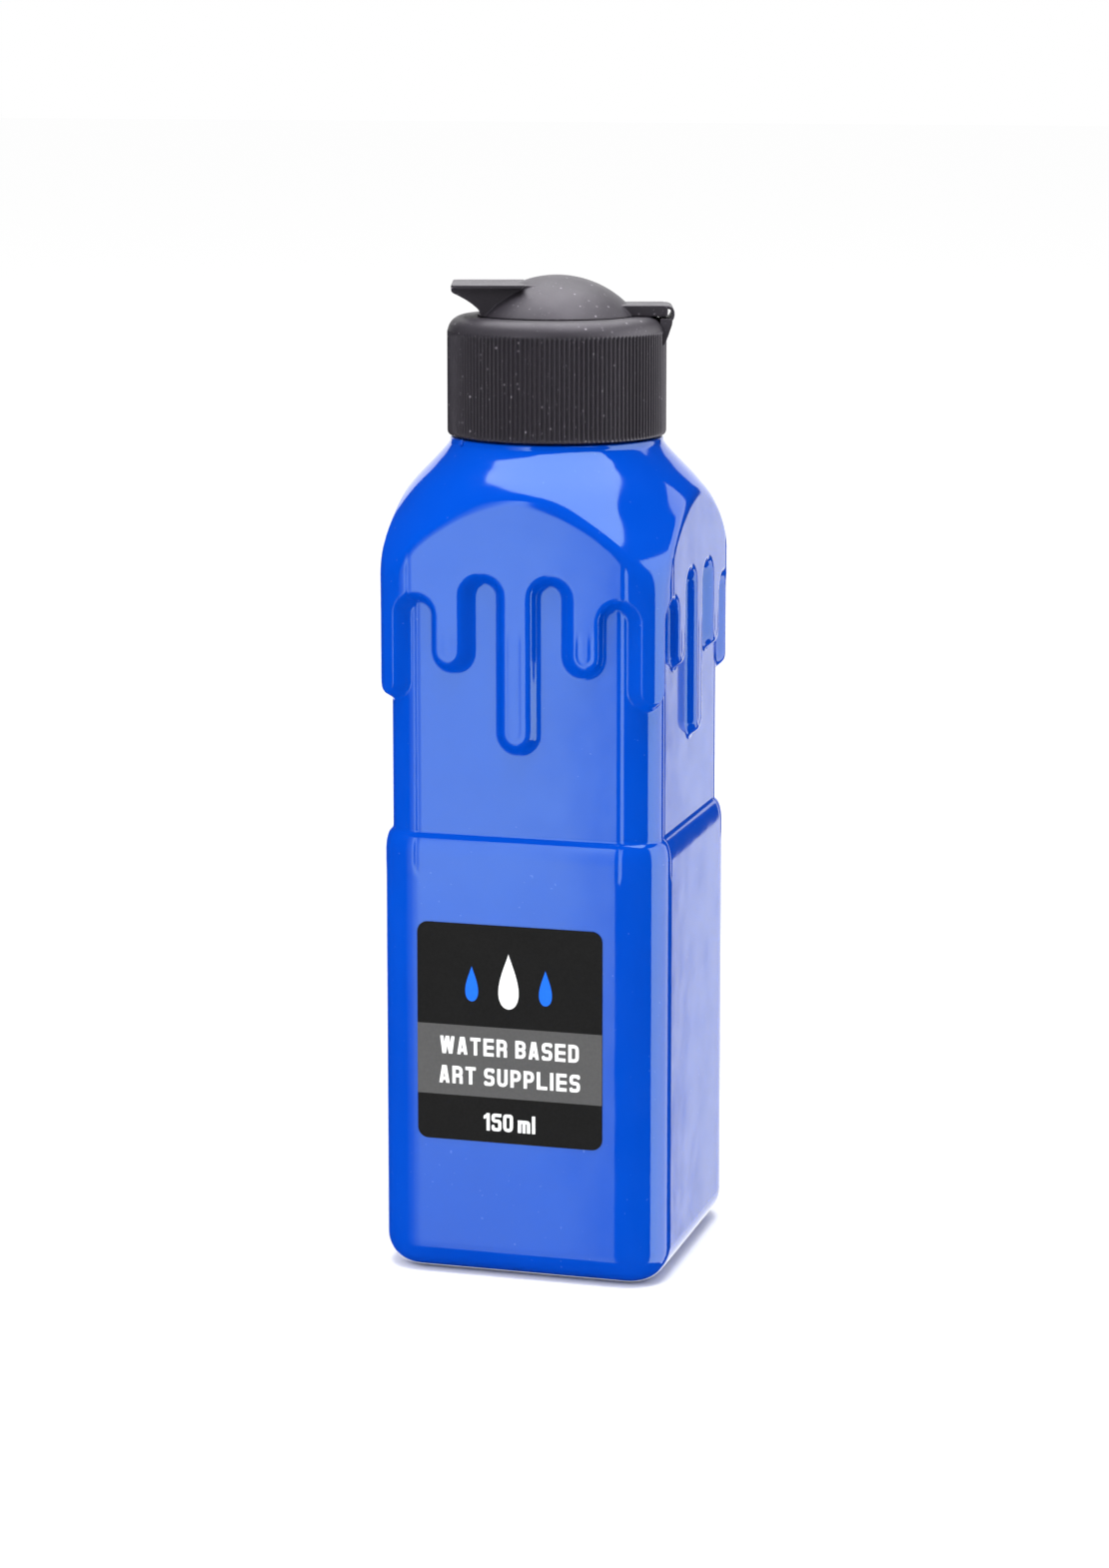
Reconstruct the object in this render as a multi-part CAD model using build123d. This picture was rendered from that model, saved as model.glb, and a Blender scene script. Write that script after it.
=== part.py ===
"""Square squeeze bottle of acrylic paint with a screwed flip-top dispensing cap.

Millimetres. +Z up, origin on the table under the bottle's axis, front panel
towards -Y. The cap's hinge lies on the side HINGE_AZ degrees round from +X.
"""

import math
import os

from build123d import *

os.makedirs("parts", exist_ok=True)

# ---- driving dimensions ----
LOWER_HW, LOWER_R = 20.40, 5.60  # lower body: half width, corner radius
LEDGE_Z0, LEDGE_Z1 = 60.20, 62.60  # sloping ledge up to the recessed body
MID_HW, MID_R = 19.35, 4.55  # recessed body behind the running drips
COAT_HW, COAT_R = 20.70, 5.00  # raised coat of "running paint"
COAT_FULL_Z = 103.0  # above this the raised coat goes all the way round
BASE_FILLET = 4.50
PUSHUP_HW, PUSHUP_R, PUSHUP_DEPTH = 12.50, 3.0, 1.20  # hollow in the base
WALL = 0.95
FLOOR_Z = 2.30  # inside of the base

# outside of the shoulder, radius against height: a surface of revolution that
# cuts the square body into four arched faces
SHOULDER = [
    (27.60, 96.5),
    (27.20, 98.5),
    (26.25, 101.3),
    (25.10, 103.4),
    (23.40, 105.7),
    (22.10, 107.4),
    (21.05, 108.9),
    (19.40, 110.95),
    (17.80, 112.5),
    (16.00, 114.3),
    (15.00, 115.6),
]
NECK_BAND_R, NECK_BAND_Z = 15.00, 116.30  # short collar under the cap
NECK_R, NECK_BORE_R, NECK_TOP_Z = 12.65, 11.00, 130.40

THREAD_PITCH, THREAD_TURNS = 4.23, 1.5  # 6 threads per inch, right hand
NECK_THREAD_CREST_R, NECK_THREAD_Z0 = 13.75, 121.50
CAP_THREAD_CREST_R = 12.85
CAP_THREAD_Z0 = NECK_THREAD_Z0 - THREAD_PITCH / 2
THREAD_ROOT_W, THREAD_CREST_W = 2.00, 0.90

PAINT_LEVEL_Z, PAINT_GAP = 107.90, 0.04

SEAL_R, SEAL_T = 12.45, 0.12  # foil seal on the neck's land
GASKET_RO, GASKET_RI, GASKET_T = 12.80, 7.50, 0.95

LABEL_X0, LABEL_X1, LABEL_Z0, LABEL_Z1 = -14.30, 12.25, 19.60, 50.40
LABEL_R, LABEL_T = 1.50, 0.12

HINGE_AZ = 15.8  # degrees from +X to the hinge's side of the cap
CAP_CREST_R, CAP_ROOT_R, CAP_RIBS = 15.30, 15.05, 142
SKIRT_Z0, SKIRT_Z1, DECK_Z = 116.60, 130.80, 133.10
SKIRT_BORE_R, DECK_UNDER_Z = 14.05, 131.60
CAP_EDGE_R = 2.20
SPOUT_R0, SPOUT_R1, SPOUT_TOP_Z, ORIFICE_R = 4.60, 3.30, 136.20, 1.75
SEAT_RO, SEAT_RI, SEAT_TOP_Z = 8.60, 7.90, 133.95

LID_Z0 = 133.15
DOME_SPHERE_R, DOME_TOP_Z, DOME_T = 14.00, 138.70, 1.00
TAB_R, TAB_HALF_W, TAB_TOP_Z = 14.60, 6.50, 137.60
STRAP_HALF_W, STRAP_X1, STRAP_TOP_Z = 4.10, 14.50, 134.70
PIN_R, PIN_BOTTOM_Z = 1.45, 134.90
HINGE_X, HINGE_Z = 16.10, 133.30

# running drips: plain straight-sided drips with round ends, evenly spaced round the body,
# three to a face and one on each corner
DRIP_PITCH, DRIP_R = 9.515, 2.35
ARCH_R = DRIP_PITCH / 2 - DRIP_R
FACE_TIP_Z, SIDE_TIP_Z, CORNER_TIP_Z = 75.0, 86.0, 81.5
ARCH_HIGH_Z, ARCH_LOW_Z = 98.5, 95.6


def drip(c, tip, left_top, right_top):
    """Lower edge of one drip, from the top of the arch on its left to the one on its right."""
    def arc(x, top, side):
        return [
            (x + side * ARCH_R * math.sin(math.radians(a)), top - ARCH_R * (1 - math.cos(math.radians(a))))
            for a in (0, 30, 60, 90)
        ]

    def wall(x, z0, z1):
        n = max(2, round(abs(z1 - z0) / 2.5))
        return [(x, z0 + (z1 - z0) * k / n) for k in range(1, n)]

    end = [
        (c + DRIP_R * math.cos(math.radians(a)), tip + DRIP_R + DRIP_R * math.sin(math.radians(a)))
        for a in range(180, 361, 30)
    ]
    return (
        arc(c - DRIP_PITCH / 2, left_top, 1)
        + wall(c - DRIP_R, left_top - ARCH_R, tip + DRIP_R)
        + end
        + wall(c + DRIP_R, tip + DRIP_R, right_top - ARCH_R)
        + arc(c + DRIP_PITCH / 2, right_top, -1)[::-1]
    )


# of one face: (distance along the face from its middle, height)
FACE_DRIPS = (
    [(-14.6, ARCH_LOW_Z)]
    + drip(-DRIP_PITCH, SIDE_TIP_Z, ARCH_LOW_Z, ARCH_HIGH_Z)
    + drip(0, FACE_TIP_Z, ARCH_HIGH_Z, ARCH_HIGH_Z)[1:]
    + drip(DRIP_PITCH, SIDE_TIP_Z, ARCH_HIGH_Z, ARCH_LOW_Z)[1:]
    + [(14.6, ARCH_LOW_Z)]
)
# of a corner: (distance along the surface from the corner's middle, height)
CORNER_DRIP = (
    [(-5.3, ARCH_LOW_Z + 0.65), (-4.6, ARCH_LOW_Z + 0.2)]
    + drip(0, CORNER_TIP_Z, ARCH_LOW_Z, ARCH_LOW_Z)[1:-1]
    + [(4.6, ARCH_LOW_Z + 0.2), (5.3, ARCH_LOW_Z + 0.65)]
)


def square_prism(hw, r, z0, z1):
    return Pos(0, 0, z0) * extrude(RectangleRounded(2 * hw, 2 * hw, r), z1 - z0)


def revolved(points, spline_first=0):
    """Solid of revolution from (radius, height) points, closed on the axis."""
    with BuildSketch(Plane.XZ) as sk:
        with BuildLine():
            if spline_first:
                Spline(*points[:spline_first])
                rest = points[spline_first - 1 :]
            else:
                rest = points
            Polyline(*rest, (0, rest[-1][1]), (0, points[0][1]), points[0])
        make_face()
    return revolve(sk.sketch, Axis.Z)


def spline_face(points, top_z):
    """Sketch on XY: a smooth lower edge through points, straight up to top_z."""
    with BuildSketch() as sk:
        with BuildLine():
            Spline(*points)
            Polyline(points[-1], (points[-1][0], top_z), (points[0][0], top_z), points[0])
        make_face()
    return sk.sketch


def corner_to_width(s):
    """Distance along the rounded corner -> width seen square on to the corner."""
    r = (COAT_R + MID_R) / 2
    quarter = r * math.pi / 4
    if abs(s) <= quarter:
        return r * math.sin(s / r)
    return math.copysign((r + abs(s) - quarter) * math.sin(math.pi / 4), s)


def thread_ridge(root_r, crest_r, z0, turns):
    """Right-hand trapezoid ridge swept round a helix."""
    path = Helix(THREAD_PITCH, THREAD_PITCH * turns, root_r)
    w0, w1, h = THREAD_ROOT_W / 2, THREAD_CREST_W / 2, crest_r - root_r
    plane = Plane(origin=path @ 0, x_dir=(1, 0, 0), z_dir=path % 0)
    pts = [(0, -w0), (h, -w1), (h, w1), (0, w0)]
    if h < 0:
        pts.reverse()
    profile = plane * make_face(Polyline(*pts, close=True))
    return Pos(0, 0, z0) * sweep(profile, path=path, is_frenet=True)


def cavity(gap, top_z):
    """Inside of the bottle, less gap all round, up to top_z."""
    g = WALL + gap
    low = square_prism(LOWER_HW - g, LOWER_R - g, FLOOR_Z + gap, LEDGE_Z0 - 0.4)
    low = fillet(low.faces().sort_by(Axis.Z)[0].edges(), BASE_FILLET - 1.1)
    slope = math.degrees(math.atan((LOWER_HW - MID_HW) / (LEDGE_Z1 - LEDGE_Z0)))
    ledge = Pos(0, 0, LEDGE_Z0 - 0.4) * extrude(
        RectangleRounded(2 * (LOWER_HW - g), 2 * (LOWER_HW - g), LOWER_R - g),
        LEDGE_Z1 - LEDGE_Z0,
        taper=slope,
    )
    mid = square_prism(MID_HW - g, MID_R - g, LEDGE_Z1 - 0.5, COAT_FULL_Z + 0.3)
    up = square_prism(COAT_HW - g, COAT_R - g, COAT_FULL_Z + gap, 116.5)
    inner = [(r - g, z - 0.35) for r, z in SHOULDER]
    stop = revolved(
        [(32 - g, 0), (32 - g, 90), *inner, (NECK_BORE_R - gap, 117.2), (NECK_BORE_R - gap, 140)]
    )
    body = (low + ledge + mid + up) & stop
    neck = Pos(0, 0, 112) * extrude(Circle(NECK_BORE_R - gap), 28)
    body = body + neck
    return body & (Pos(0, 0, -1) * extrude(Rectangle(80, 80), top_z + 1))


# ---- bottle: blow-moulded shell with raised running-paint relief and screw neck ----
slope = math.degrees(math.atan((LOWER_HW - MID_HW) / (LEDGE_Z1 - LEDGE_Z0)))
lower = square_prism(LOWER_HW, LOWER_R, 0, LEDGE_Z0)
lower = fillet(lower.faces().sort_by(Axis.Z)[0].edges(), BASE_FILLET)
ledge = Pos(0, 0, LEDGE_Z0) * extrude(
    RectangleRounded(2 * LOWER_HW, 2 * LOWER_HW, LOWER_R), LEDGE_Z1 - LEDGE_Z0, taper=slope
)
mid = square_prism(MID_HW, MID_R, LEDGE_Z1 - 0.01, COAT_FULL_Z + 1)
envelope = square_prism(COAT_HW, COAT_R, 65, 120)

face_sk = spline_face(FACE_DRIPS, COAT_FULL_Z + 0.5)
corner_pts = [(corner_to_width(s), z) for s, z in CORNER_DRIP]
corner_sk = spline_face(corner_pts, COAT_FULL_Z + 0.5)
coat = square_prism(COAT_HW, COAT_R, COAT_FULL_Z, 118)
front_plane = Plane(origin=(0, -17.5, 0), x_dir=(1, 0, 0), z_dir=(0, -1, 0))
face_block = extrude(front_plane * face_sk, 6)
s2 = math.sqrt(0.5)
corner_plane = Plane(
    origin=(20.6 * s2, -20.6 * s2, 0), x_dir=(s2, s2, 0), z_dir=(s2, -s2, 0)
)
corner_block = extrude(corner_plane * corner_sk, 9)
one_side = (face_block + corner_block) & envelope
for k in range(4):
    coat = coat + Rot(0, 0, 90 * k) * one_side

shoulder = revolved([(32, 40), (32, 90), *SHOULDER, (NECK_BAND_R, NECK_BAND_Z), (NECK_R, NECK_BAND_Z)])
upper = (mid + coat) & shoulder
neck = Pos(0, 0, 112) * extrude(Circle(NECK_R), NECK_TOP_Z - 112)
band = Pos(0, 0, 112) * extrude(Circle(NECK_BAND_R), NECK_BAND_Z - 112)
shell = lower + ledge + upper + band + neck
ridge = thread_ridge(NECK_R - 0.15, NECK_THREAD_CREST_R, NECK_THREAD_Z0, THREAD_TURNS)
shell = shell + ridge
shell = shell - cavity(0, 140)
pushup = extrude(
    RectangleRounded(2 * PUSHUP_HW, 2 * PUSHUP_HW, PUSHUP_R), PUSHUP_DEPTH, taper=40
)
bottle = shell - pushup

# ---- paint, foil seal and the two labels stay with the bottle ----
paint_fill = cavity(PAINT_GAP, PAINT_LEVEL_Z)
induction_seal = Pos(0, 0, NECK_TOP_Z) * extrude(Circle(SEAL_R), SEAL_T)

label_w, label_h = LABEL_X1 - LABEL_X0, LABEL_Z1 - LABEL_Z0
label_sk = RectangleRounded(label_w, label_h, LABEL_R)
label_mid_z = (LABEL_Z0 + LABEL_Z1) / 2
front_label = Plane(
    origin=((LABEL_X0 + LABEL_X1) / 2, -LOWER_HW, label_mid_z), x_dir=(1, 0, 0), z_dir=(0, -1, 0)
) * extrude(label_sk, LABEL_T)
rear_label = Plane(
    origin=(0, LOWER_HW, label_mid_z), x_dir=(-1, 0, 0), z_dir=(0, 1, 0)
) * extrude(label_sk, LABEL_T)

# ---- foam sealing ring between the neck's land and the cap's deck ----
gasket_z = NECK_TOP_Z + SEAL_T + 0.05
neck_gasket = Pos(0, 0, gasket_z) * extrude(Circle(GASKET_RO) - Circle(GASKET_RI), GASKET_T)

# ---- cap base: ribbed skirt, deck, spout, hinge bracket (local +X to the hinge) ----
rib_pts = []
for i in range(CAP_RIBS):
    a = 2 * math.pi * i / CAP_RIBS
    b = a + math.pi / CAP_RIBS
    rib_pts.append((CAP_CREST_R * math.cos(a), CAP_CREST_R * math.sin(a)))
    rib_pts.append((CAP_ROOT_R * math.cos(b), CAP_ROOT_R * math.sin(b)))
skirt = Pos(0, 0, SKIRT_Z0) * extrude(
    make_face(Polyline(*rib_pts, close=True)), SKIRT_Z1 - SKIRT_Z0
)
top = Pos(0, 0, SKIRT_Z1) * extrude(Circle(CAP_ROOT_R + 0.15), DECK_Z - SKIRT_Z1)
top = fillet(top.faces().sort_by(Axis.Z)[-1].edges(), CAP_EDGE_R)
bracket = extrude(
    Plane.XZ
    * make_face(
        Polyline(
            (14.4, 129.7), (15.1, 129.7), (16.0, 132.3), (16.0, 132.85), (14.4, 132.85), close=True
        )
    ),
    STRAP_HALF_W,
    both=True,
)
spout = Pos(0, 0, DECK_Z - 0.5) * Solid.make_cone(
    SPOUT_R0, SPOUT_R1, SPOUT_TOP_Z - DECK_Z + 0.5
)
seat = Pos(0, 0, DECK_Z - 0.3) * extrude(Circle(SEAT_RO) - Circle(SEAT_RI), SEAT_TOP_Z - DECK_Z + 0.3)
cap = skirt + top + bracket + spout + seat
cap = cap - Pos(0, 0, SKIRT_Z0 - 1) * extrude(Circle(SKIRT_BORE_R), DECK_UNDER_Z - SKIRT_Z0 + 1)
cap = cap - Pos(0, 0, 130) * extrude(Circle(ORIFICE_R), 10)
cap_ridge = thread_ridge(SKIRT_BORE_R + 0.15, CAP_THREAD_CREST_R, CAP_THREAD_Z0, THREAD_TURNS)
cap_base = Rot(0, 0, HINGE_AZ) * (cap + cap_ridge)

# ---- living hinge: a thin web bowed out between bracket and lid strap ----
film_profile = make_face(
    Polyline(
        (14.52, 134.50), (15.55, 134.50), (16.15, 134.20), (16.42, 133.65), (16.30, 133.15),
        (15.98, 132.87), (15.55, 132.87), (15.95, 133.30), (16.02, 133.65), (15.80, 133.98),
        (15.40, 134.15), (14.52, 134.15), close=True,
    )
)  # fmt: skip
hinge_film = Rot(0, 0, HINGE_AZ) * extrude(Plane.XZ * film_profile, STRAP_HALF_W - 0.1, both=True)

# ---- flip lid: hollow dome, thumb tab, hinge strap and orifice plug ----
dome_c = DOME_TOP_Z - DOME_SPHERE_R
above = Pos(0, 0, LID_Z0) * extrude(Rectangle(60, 60), 10)
dome = (Pos(0, 0, dome_c) * Sphere(DOME_SPHERE_R)) & above
hollow = Pos(0, 0, dome_c) * Sphere(DOME_SPHERE_R - DOME_T)
tab = extrude(
    Plane.XZ
    * make_face(
        Polyline(
            (-15.5, TAB_TOP_Z), (-15.5, 136.75), (-14.4, 136.50), (-13.0, 135.80), (-11.9, 135.00),
            (-10.8, 134.20), (-10.6, LID_Z0), (-8.0, LID_Z0), (-5.0, TAB_TOP_Z), close=True,
        )
    ),
    TAB_HALF_W,
    both=True,
)  # fmt: skip
tab = tab & (Pos(0, 0, 130) * extrude(Circle(TAB_R), 10))
strap = Pos((8.5 + STRAP_X1) / 2, 0, (LID_Z0 + STRAP_TOP_Z) / 2) * Box(
    STRAP_X1 - 8.5, 2 * STRAP_HALF_W, STRAP_TOP_Z - LID_Z0
)
plug = Pos(0, 0, PIN_BOTTOM_Z) * extrude(Circle(PIN_R), 3.1)
plug = chamfer(plug.faces().sort_by(Axis.Z)[0].edges(), 0.4)
lid = (dome + tab + strap - hollow) + (plug & (Pos(0, 0, dome_c) * Sphere(DOME_SPHERE_R - 0.3)))
flip_lid = Rot(0, 0, HINGE_AZ) * lid

for name, shape in {
    "bottle": bottle,
    "paint_fill": paint_fill,
    "induction_seal": induction_seal,
    "front_label": front_label,
    "rear_label": rear_label,
    "neck_gasket": neck_gasket,
    "cap_base": cap_base,
    "hinge_film": hinge_film,
    "flip_lid": flip_lid,
}.items():
    box = shape.bounding_box()
    print(
        name,
        "solids", len(shape.solids()),
        "volume_mm3", round(shape.volume, 1),
        "z", round(box.min.Z, 2), round(box.max.Z, 2),
        "valid", shape.is_valid() if callable(shape.is_valid) else shape.is_valid,
    )  # fmt: skip
    export_step(shape, f"parts/{name}.step")
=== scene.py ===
import math

import bmesh
import bpy
import numpy as np
from mathutils import Matrix, Vector


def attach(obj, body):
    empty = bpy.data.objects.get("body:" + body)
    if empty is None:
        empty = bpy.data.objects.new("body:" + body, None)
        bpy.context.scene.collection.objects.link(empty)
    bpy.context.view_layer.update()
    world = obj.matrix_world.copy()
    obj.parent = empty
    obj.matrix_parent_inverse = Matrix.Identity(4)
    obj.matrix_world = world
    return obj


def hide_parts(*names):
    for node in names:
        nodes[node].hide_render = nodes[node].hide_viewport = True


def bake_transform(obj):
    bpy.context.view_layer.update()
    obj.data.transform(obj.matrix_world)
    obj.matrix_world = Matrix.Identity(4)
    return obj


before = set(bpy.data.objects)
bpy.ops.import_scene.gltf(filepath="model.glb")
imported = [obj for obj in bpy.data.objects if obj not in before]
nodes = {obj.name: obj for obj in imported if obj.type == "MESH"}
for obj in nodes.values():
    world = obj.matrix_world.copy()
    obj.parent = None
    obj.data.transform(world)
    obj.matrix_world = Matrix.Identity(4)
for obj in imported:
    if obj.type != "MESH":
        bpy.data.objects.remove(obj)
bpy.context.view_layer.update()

MM = 0.001
scene = bpy.context.scene
pi = math.pi

# sizes in millimetres, the same as the CAD's
LOWER_HW, LOWER_R = 20.40, 5.60
MID_HW, MID_R = 19.35, 4.55
COAT_HW, COAT_R = 20.70, 5.00
LEDGE_Z0, LEDGE_Z1 = 60.20, 62.60
SHOULDER = [
    (28.60, 90.0), (27.90, 96.5), (27.20, 98.7), (26.25, 101.3), (25.10, 103.4), (23.40, 105.7),
    (22.10, 107.4), (21.05, 108.9), (19.40, 110.95), (17.80, 112.5), (16.00, 114.3), (15.00, 115.6),
]
HINGE_AZ = math.radians(15.8)
HINGE = Vector((16.10 * math.cos(HINGE_AZ), 16.10 * math.sin(HINGE_AZ), 133.30)) * MM

# plain drips, evenly spaced: tips on a face's middle, its sides and the corners
DRIP_R, ARCH_HIGH, ARCH_LOW = 2.35, 98.5, 95.6
TIP_FACE, TIP_SIDE, TIP_CORNER = 75.0, 86.0, 81.5


# ---------------------------------------------------------------- mesh helpers
def smooth_curve(points, per=5):
    """Catmull-Rom points through the given ones, centripetal enough for an even outline."""
    p = np.array(points, float)
    out = []
    for i in range(len(p) - 1):
        a = p[max(i - 1, 0)]
        b, c = p[i], p[i + 1]
        d = p[min(i + 2, len(p) - 1)]
        for k in range(per):
            t = k / per
            out.append(
                0.5 * (2 * b + (c - a) * t + (2 * a - 5 * b + 4 * c - d) * t * t
                       + (3 * b - a - 3 * c + d) * t ** 3)
            )
    out.append(p[-1])
    return np.array(out)


def smoothstep(x):
    x = np.clip(x, 0, 1)
    return x * x * x * (x * (6 * x - 15) + 10)


def mesh_object(name, verts, faces, smooth=True):
    """verts in millimetres."""
    m = bpy.data.meshes.new(name)
    m.from_pydata((np.asarray(verts, float) * MM).tolist(), [], faces)
    m.validate(verbose=False)
    m.update()
    if smooth:
        m.polygons.foreach_set("use_smooth", [True] * len(m.polygons))
    o = bpy.data.objects.new(name, m)
    scene.collection.objects.link(o)
    return o


def recalc(o):
    bm = bmesh.new()
    bm.from_mesh(o.data)
    bmesh.ops.recalc_face_normals(bm, faces=bm.faces)
    bm.to_mesh(o.data)
    bm.free()
    o.data.update()


def rings_to_faces(counts, closed_loop=False):
    """Faces between rings of those counts. Neighbouring counts are equal, or one is a
    multiple of the other, where each coarse edge meets several fine ones in one face."""
    starts = np.concatenate([[0], np.cumsum(counts)])
    faces = []
    pairs = list(zip(range(len(counts) - 1), range(1, len(counts))))
    if closed_loop:
        pairs.append((len(counts) - 1, 0))
    for i, j in pairs:
        a, b, na, nb = int(starts[i]), int(starts[j]), counts[i], counts[j]
        if na == nb:
            for k in range(na):
                n = (k + 1) % na
                faces.append((a + k, a + n, b + n, b + k))
        elif na > nb:
            s = na // nb
            for k in range(nb):
                fine = [a + (k * s + q) % na for q in range(s + 1)]
                faces.append((*fine, b + (k + 1) % nb, b + k))
        else:
            s = nb // na
            for k in range(na):
                fine = [b + (k * s + q) % nb for q in range(s + 1)]
                faces.append((a + k, a + (k + 1) % na, *reversed(fine)))
    return faces, starts


def lathe(name, profile, n, closed=True, ribs=None, axis_rot=0.0):
    """Closed lathe of (r, z, rib weight) points, in mm, as a loop round the section."""
    rings = []
    ang = np.arange(n) * 2 * pi / n + axis_rot
    for r, z, w in profile:
        rr = r + (ribs(ang) * w if ribs is not None and w else 0.0)
        rings.append(np.stack([rr * np.cos(ang), rr * np.sin(ang), np.full(n, z)], 1))
    faces, _ = rings_to_faces([n] * len(rings), closed_loop=closed)
    o = mesh_object(name, np.concatenate(rings), faces)
    recalc(o)
    return o


def arc(cx, cz, r, a0, a1, n, w=0.0):
    return [
        (cx + r * math.cos(math.radians(a0 + (a1 - a0) * i / n)),
         cz + r * math.sin(math.radians(a0 + (a1 - a0) * i / n)), w)
        for i in range(n + 1)
    ]


def join(objects, name):
    bpy.ops.object.select_all(action="DESELECT")
    for o in objects:
        o.select_set(True)
    bpy.context.view_layer.objects.active = objects[0]
    bpy.ops.object.join()
    objects[0].name = name
    objects[0].data.name = name
    return objects[0]


def bake_modifiers(o):
    """Applies the modifiers to the mesh, so the result is plain geometry."""
    dg = bpy.context.evaluated_depsgraph_get()
    m = bpy.data.meshes.new_from_object(o.evaluated_get(dg))
    old = o.data
    o.modifiers.clear()
    o.data = m
    m.name = o.name
    if old.users == 0:
        bpy.data.meshes.remove(old)
    return o


# ---------------------------------------------------------------- bottle
N_FLAT, N_CORNER = 128, 32  # fine columns on one face and on one corner
N_FINE = 4 * (N_FLAT + N_CORNER)
N_COARSE = N_FINE // 4
U_A, U_R = 15.30, 4.75  # the surface that the drip outline is measured on
HALF = U_A + U_R * pi / 4


def columns(n):
    """For n columns round the body from the middle of the front face:
    (quarter turn, place on the flat from -1 to 1, angle round the corner, distance along)."""
    quarter = n // 4
    flat = round(quarter * N_FLAT / (N_FLAT + N_CORNER))
    corner = quarter - flat
    quarters, taus, phis, dist = [], [], [], []
    for q in range(4):
        for k in range(flat):
            t = -1 + 2 * k / flat
            quarters.append(q); taus.append(t); phis.append(0.0); dist.append(U_A * t)
        for k in range(corner):
            p = (pi / 2) * k / corner
            quarters.append(q); taus.append(1.0); phis.append(p); dist.append(U_A + U_R * p)
    return tuple(np.array(x, float) for x in (quarters, taus, phis, dist))


COLS = {n: columns(n) for n in (N_FINE, N_COARSE)}


def square_ring(n, a, r):
    """Points of a rounded square with flats of half length a and corner radius r.
    a and r are numbers or one value for each column."""
    q, tau, phi, _ = COLS[n]
    a = np.broadcast_to(np.asarray(a, float), q.shape)
    r = np.broadcast_to(np.asarray(r, float), q.shape)
    x = a * tau + r * np.sin(phi)
    y = -a - r * np.cos(phi)
    # past the middle of a corner the same formula runs on to the next face
    c, s = np.cos(q * pi / 2), np.sin(q * pi / 2)
    return x * c - y * s, x * s + y * c


# outline of the drips over one period, as a polygon closed far above
period = 2 * HALF
pitch = HALF / 2
arch_r = pitch / 2 - DRIP_R


def drip(c, tip, left_top, right_top):
    """Lower edge of one drip, from the top of the arch on its left to the one on its right."""
    steps = np.radians(np.arange(0, 91, 22.5))
    down = [(c - pitch / 2 + arch_r * math.sin(t), left_top - arch_r * (1 - math.cos(t))) for t in steps]
    up = [(c + pitch / 2 - arch_r * math.sin(t), right_top - arch_r * (1 - math.cos(t))) for t in steps][::-1]
    tip_arc = [(c + DRIP_R * math.cos(t), tip + DRIP_R * (1 + math.sin(t))) for t in np.radians(np.arange(180, 361, 22.5))]
    wall_a = [(c - DRIP_R, z) for z in np.linspace(down[-1][1], tip + DRIP_R, 6)[1:-1]]
    wall_b = [(c + DRIP_R, z) for z in np.linspace(tip + DRIP_R, up[0][1], 6)[1:-1]]
    return down + wall_a + tip_arc + wall_b + up


one = (
    drip(-pitch, TIP_SIDE, ARCH_LOW, ARCH_HIGH)
    + drip(0.0, TIP_FACE, ARCH_HIGH, ARCH_HIGH)[1:]
    + drip(pitch, TIP_SIDE, ARCH_HIGH, ARCH_LOW)[1:]
    + drip(2 * pitch, TIP_CORNER, ARCH_LOW, ARCH_LOW)[1:]
)
base_line = one[:-1]  # the last point is the next period's first
line = np.array([(u + k * period, z) for k in (-1, 0, 1) for u, z in base_line] + [(one[0][0] + 2 * period, one[0][1])])
outline = smooth_curve(line, 5)


def coat_distance(u, z):
    """Signed distance in mm to the drips' outline, positive inside the paint coat."""
    a, b = outline[:-1], outline[1:]
    keep = (np.maximum(a[:, 0], b[:, 0]) > u.min() - 8) & (np.minimum(a[:, 0], b[:, 0]) < u.max() + 8)
    aa, bb = a[keep], b[keep]
    best = np.full(u.shape, 1e9)
    cross = np.zeros(u.shape, int)
    for (x0, z0), (x1, z1) in zip(aa, bb):
        dx, dz = x1 - x0, z1 - z0
        l2 = dx * dx + dz * dz
        if l2 < 1e-12:
            continue
        t = np.clip(((u - x0) * dx + (z - z0) * dz) / l2, 0, 1)
        best = np.minimum(best, (u - x0 - t * dx) ** 2 + (z - z0 - t * dz) ** 2)
        # outline crossings straight above the point
        hit = (x0 <= u) != (x1 <= u)
        zc = z0 + (u - x0) * dz / dx if abs(dx) > 1e-12 else z0
        cross += hit & (zc > z)
    inside = cross % 2 == 0
    return np.where(inside, 1, -1) * np.sqrt(best)


sh_r = np.array([r for r, _ in SHOULDER])
sh_z = np.array([z for _, z in SHOULDER])


def shoulder_radius(z):
    """Smooth radius of the shoulder at height z, by a cubic through the profile."""
    h = np.diff(sh_z)
    d = np.diff(sh_r) / h
    m = np.zeros(len(sh_z))
    m[1:-1] = np.where(d[:-1] * d[1:] > 0, 2 * d[:-1] * d[1:] / (d[:-1] + d[1:]), 0)
    m[0], m[-1] = d[0], d[-1]
    i = int(np.clip(np.searchsorted(sh_z, z) - 1, 0, len(h) - 1))
    t = (z - sh_z[i]) / h[i]
    return (
        (2 * t ** 3 - 3 * t * t + 1) * sh_r[i] + (t ** 3 - 2 * t * t + t) * h[i] * m[i]
        + (-2 * t ** 3 + 3 * t * t) * sh_r[i + 1] + (t ** 3 - t * t) * h[i] * m[i + 1]
    )


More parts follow.
